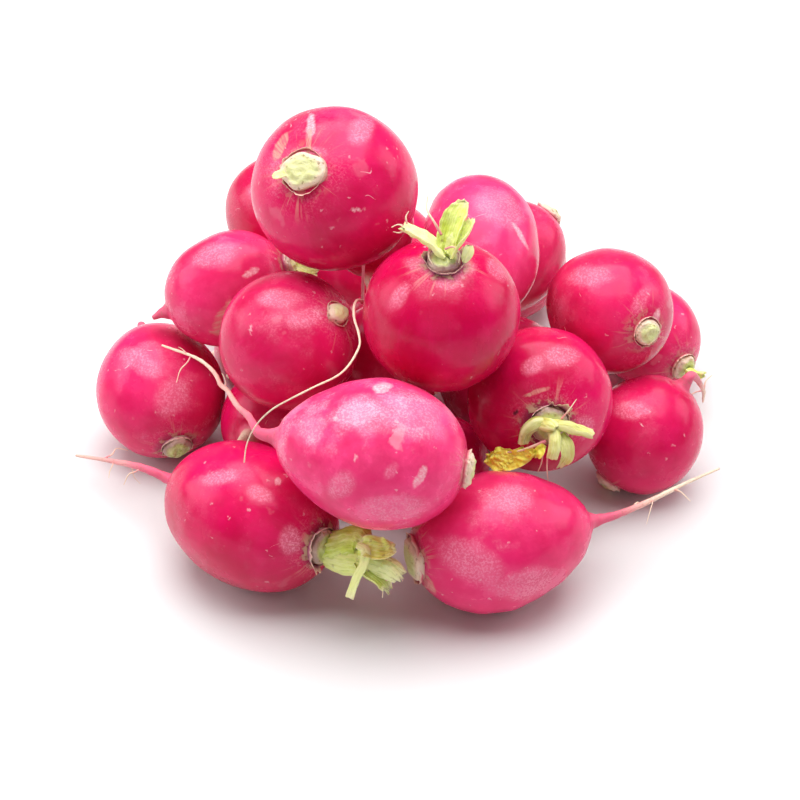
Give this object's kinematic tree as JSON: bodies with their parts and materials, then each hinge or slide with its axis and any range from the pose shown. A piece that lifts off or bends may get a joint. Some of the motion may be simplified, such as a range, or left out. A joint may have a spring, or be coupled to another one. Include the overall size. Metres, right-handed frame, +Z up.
{
  "type": "bunch of radishes",
  "caption": "Heap of round red radishes with trimmed crowns, a few leaf stalk stubs and thin tapering tail roots, lying on a flat surface.",
  "frame": {"origin": "middle of the heap's footprint, on the surface that it lies on", "axes": "+Z up from the surface; the heap is seen from -Y"},
  "size_m": [0.1582, 0.1564, 0.0986],
  "materials": {
    "radish_skin": "moist, crimson to pink",
    "crown": "cut, pale green to cream",
    "leaf_stalk": "ribbed, light green"
  },
  "bodies": {
    "root": {"back_far_right_crown": "crown", "back_far_right_root": "radish_skin", "back_left_crown": "crown", "back_left_root": "radish_skin", "back_left_stalk_1": "leaf_stalk", "back_middle_crown": "crown", "back_middle_root": "radish_skin", "back_right_crown": "crown", "back_right_root": "radish_skin", "back_right_stalk_1": "leaf_stalk", "back_upper_right_crown": "crown", "back_upper_right_root": "radish_skin", "core_crown": "crown", "core_root": "radish_skin", "front_left_crown": "crown", "front_left_root": "radish_skin", "front_left_stalk_1": "leaf_stalk", "front_left_stalk_2": "leaf_stalk", "front_left_stalk_3": "leaf_stalk", "front_middle_crown": "crown", "front_middle_root": "radish_skin", "front_right_crown": "crown", "front_right_root": "radish_skin", "inner_back_crown": "crown", "inner_back_root": "radish_skin", "inner_front_crown": "crown", "inner_front_root": "radish_skin", "inner_left_crown": "crown", "inner_left_root": "radish_skin", "inner_middle_crown": "crown", "inner_middle_root": "radish_skin", "inner_right_crown": "crown", "inner_right_root": "radish_skin", "left_crown": "crown", "left_root": "radish_skin", "left_upper_crown": "crown", "left_upper_root": "radish_skin", "middle_left_crown": "crown", "middle_left_root": "radish_skin", "middle_right_crown": "crown", "middle_right_root": "radish_skin", "middle_right_stalk_1": "leaf_stalk", "middle_right_stalk_2": "leaf_stalk", "right_crown": "crown", "right_front_crown": "crown", "right_front_root": "radish_skin", "right_front_stalk_1": "leaf_stalk", "right_front_stalk_2": "leaf_stalk", "right_root": "radish_skin", "right_upper_crown": "crown", "right_upper_root": "radish_skin", "top_crown": "crown", "top_root": "radish_skin", "upper_back_crown": "crown", "upper_back_left_crown": "crown", "upper_back_left_root": "radish_skin", "upper_back_right_crown": "crown", "upper_back_right_root": "radish_skin", "upper_back_root": "radish_skin"}
  },
  "joints": []
}
